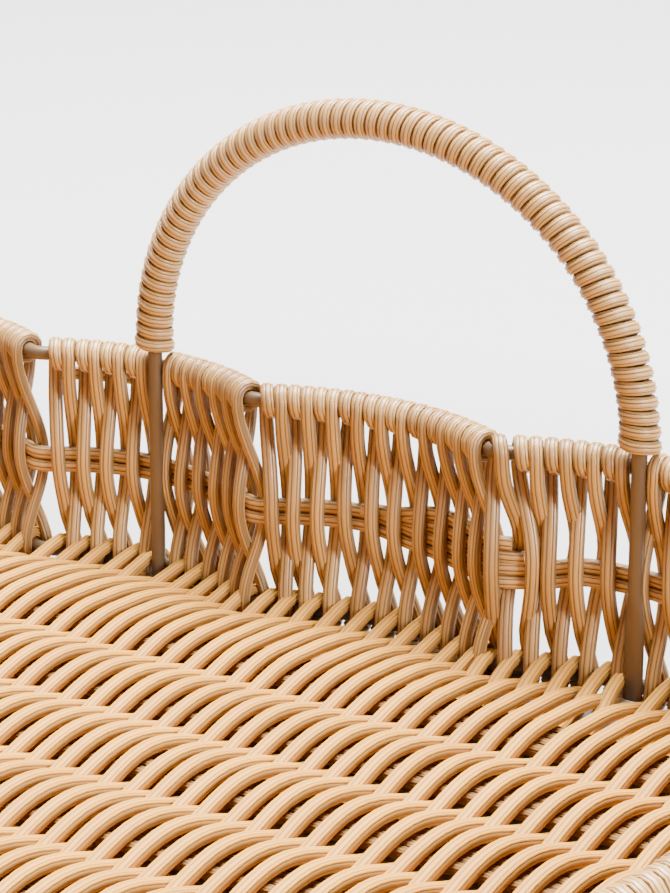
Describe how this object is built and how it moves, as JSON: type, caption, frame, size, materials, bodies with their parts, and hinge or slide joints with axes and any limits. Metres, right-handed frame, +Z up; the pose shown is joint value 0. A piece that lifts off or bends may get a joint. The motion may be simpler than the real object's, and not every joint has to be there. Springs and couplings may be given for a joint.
{
  "type": "woven tray",
  "caption": "Rectangular serving tray of ribbed plastic strand woven on a wire frame, with scalloped open walls and arched wound handles at its short ends.",
  "frame": {"origin": "middle of the tray on the surface that it stands on", "axes": "+Z up, +X across the tray along its handle walls, +Y along the tray towards the handle wall that the picture shows"},
  "size_m": [0.3344, 0.4584, 0.1188],
  "materials": {
    "wall_strand": "honey tan, finely ribbed along the strand, semi-gloss",
    "floor_strand": "pale honey, finely ribbed along the strand, semi-gloss",
    "weaver_strand": "darker honey, finely ribbed along the strand, semi-gloss",
    "handle_strand": "honey tan, finely ribbed along the strand, semi-gloss",
    "wire": "beige brown paint, semi-gloss"
  },
  "bodies": {
    "root": {"base_wire": "wire", "handle_rod_back": "wire", "handle_rod_front": "wire", "handle_winding_back": "handle_strand", "handle_winding_front": "handle_strand", "mid_weaver_lower": "weaver_strand", "mid_weaver_upper": "weaver_strand", "rim_wire": "wire", "upright_left_back": "wire", "upright_left_front": "wire", "upright_right_back": "wire", "upright_right_front": "wire", "wall_back_1": "wall_strand", "wall_back_2": "wall_strand", "wall_back_3": "wall_strand", "wall_back_4": "wall_strand", "wall_back_5": "wall_strand", "wall_front_1": "wall_strand", "wall_front_2": "wall_strand", "wall_front_3": "wall_strand", "wall_front_4": "wall_strand", "wall_front_5": "wall_strand", "wall_left_1": "wall_strand", "wall_left_2": "wall_strand", "wall_left_3": "wall_strand", "wall_left_4": "wall_strand", "wall_left_5": "wall_strand", "wall_left_6": "wall_strand", "wall_left_7": "wall_strand", "wall_right_1": "wall_strand", "wall_right_2": "wall_strand", "wall_right_3": "wall_strand", "wall_right_4": "wall_strand", "wall_right_5": "wall_strand", "wall_right_6": "wall_strand", "wall_right_7": "wall_strand", "woven_floor": "floor_strand"}
  },
  "joints": []
}
